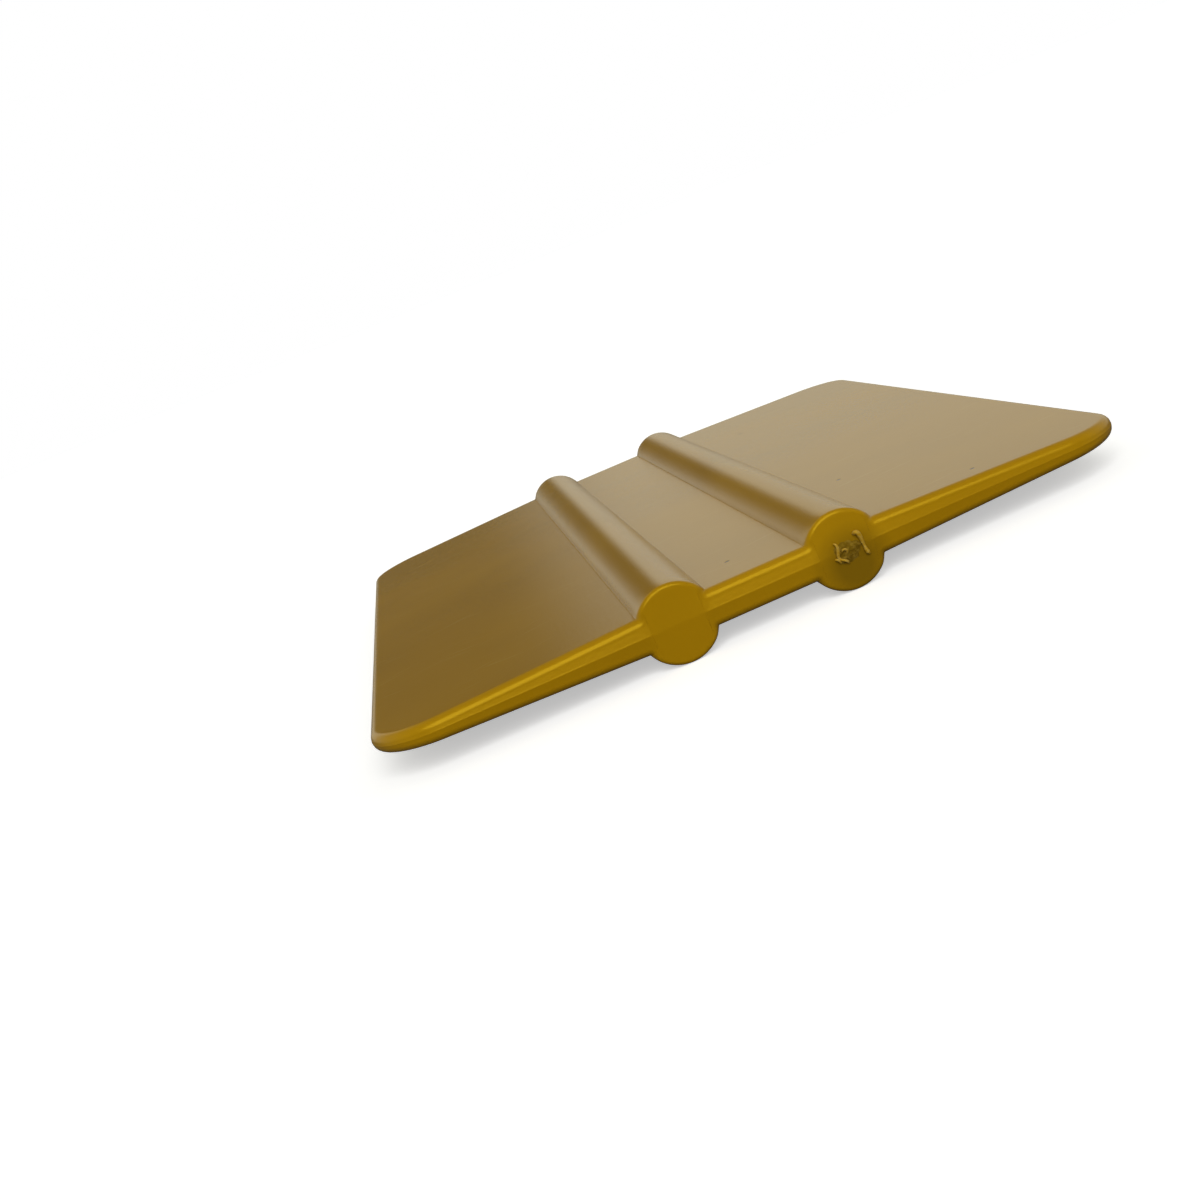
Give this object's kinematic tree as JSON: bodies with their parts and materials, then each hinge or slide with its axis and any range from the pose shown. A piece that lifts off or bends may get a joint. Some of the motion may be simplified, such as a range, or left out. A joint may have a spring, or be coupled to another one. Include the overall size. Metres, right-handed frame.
{
  "type": "squeegee applicator",
  "caption": "Rectangular hard card squeegee with round corners: a finger grip of round beads and a flat web along the middle, and a tapered springy blade on each side for pressing film down.",
  "frame": {"origin": "centre of the card, on its mid-plane, which is also the mould's parting plane", "axes": "+X across the card towards the right working edge, +Y along the beads and working edges, +Z out of the upper face"},
  "size_m": [0.072, 0.1, 0.0074],
  "materials": {
    "yellow_plastic": "satin moulded golden yellow plastic, slightly cloudy, with fine rubbing marks"
  },
  "bodies": {
    "grip": {"finger_grip": "yellow_plastic"},
    "left_edge": {"left_blade": "yellow_plastic"},
    "right_edge": {"right_blade": "yellow_plastic"}
  },
  "joints": [
    {"name": "left_flex", "type": "hinge", "parent": "grip", "child": "left_edge", "pos_m": [-0.0079, 0, 0], "axis": [0, 1, 0], "range_deg": [-8, 8], "stiffness_Nm_per_rad": 45},
    {"name": "right_flex", "type": "hinge", "parent": "grip", "child": "right_edge", "pos_m": [0.0079, 0, 0], "axis": [0, -1, 0], "range_deg": [-8, 8], "stiffness_Nm_per_rad": 45}
  ]
}
